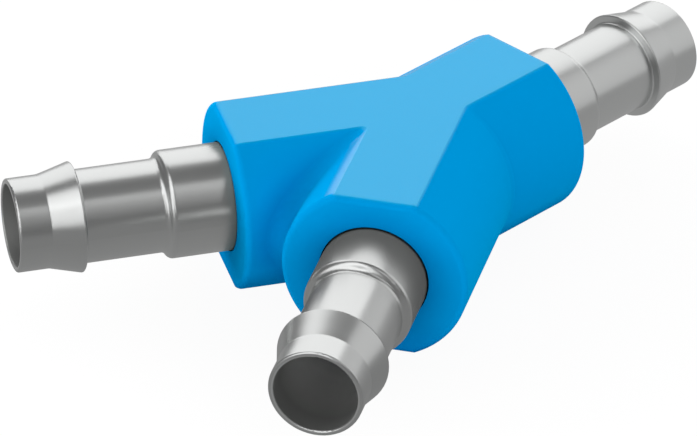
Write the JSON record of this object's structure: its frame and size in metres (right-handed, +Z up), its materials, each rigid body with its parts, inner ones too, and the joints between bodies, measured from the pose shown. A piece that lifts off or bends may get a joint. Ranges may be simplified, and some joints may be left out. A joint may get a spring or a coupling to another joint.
{
  "type": "tubing y connector",
  "caption": "Y connector that joins soft tubing: a moulded blue plastic body between two flats, with a barbed metal sleeve in the end of each arm.",
  "frame": {"origin": "on the body's lower flat, straight under the point where the three arm axes meet", "axes": "+Z up, square to the flats; +X along the stem, out of its mouth; the branches spread evenly to both sides of the XZ plane, on the -X side"},
  "size_m": [0.0473, 0.0324, 0.0108],
  "materials": {
    "blue_plastic": "light blue, smooth satin moulding",
    "satin_metal": "turned and softly polished, satin"
  },
  "bodies": {
    "root": {"moulded_body": "blue_plastic", "stem_sleeve": "satin_metal", "left_branch_sleeve": "satin_metal", "right_branch_sleeve": "satin_metal"}
  },
  "joints": []
}
